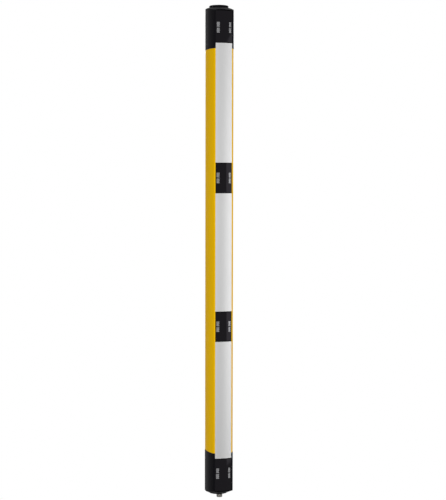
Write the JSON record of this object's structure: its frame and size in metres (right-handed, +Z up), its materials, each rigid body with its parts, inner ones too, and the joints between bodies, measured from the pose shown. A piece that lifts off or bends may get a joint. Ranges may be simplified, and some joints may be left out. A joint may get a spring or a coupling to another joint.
{
  "type": "safety light curtain",
  "caption": "Slim upright safety light curtain bar: a bowed extruded housing with dark windows at its beams, strips between them, end caps with round bosses, and a round connector below.",
  "frame": {"origin": "on the axis of the bosses, where the bottom boss leaves the flat end of its cap", "axes": "+Z up along the bar, -Y out of the windows, +X to the right seen from the front"},
  "size_m": [0.053, 0.0671, 1.0018],
  "materials": {
    "yellow_coat": "fine satin powder coat",
    "black_cap": "satin moulded",
    "seal": "matt",
    "screw_steel": "zinc plated",
    "window": "polished, dark, lets infrared through",
    "lens": "clear, polished",
    "optics": "matt moulded",
    "board": "solder mask",
    "diode": "clear, tinted",
    "strip": "fine satin",
    "rail": "mill finish",
    "spacer": "natural nylon",
    "cable": "flat cable",
    "nickel": "nickel-plated brass",
    "carrier": "moulded",
    "gold_pin": "gold plated"
  },
  "bodies": {
    "root": {"housing_profile": "yellow_coat", "top_end_cap": "black_cap", "bottom_end_cap": "black_cap", "cap_seals": "seal", "cap_screws": "screw_steel", "top_window": "window", "top_optics_tube": "optics", "top_beam_board": "board", "top_beam_diode": "diode", "upper_window": "window", "upper_optics_tube": "optics", "upper_beam_board": "board", "upper_beam_diode": "diode", "lower_window": "window", "lower_optics_tube": "optics", "lower_beam_board": "board", "lower_beam_diode": "diode", "bottom_window": "window", "bottom_optics_tube": "optics", "bottom_beam_board": "board", "bottom_beam_diode": "diode", "window_seals": "seal", "lenses": "lens", "upper_cover_strip": "strip", "middle_cover_strip": "strip", "lower_cover_strip": "strip", "inner_rail": "rail", "control_board": "board", "board_posts": "spacer", "flat_cable": "cable", "connector_shell": "nickel", "contact_carrier": "carrier", "contact_pins": "gold_pin", "connector_nut": "nickel"}
  },
  "joints": []
}
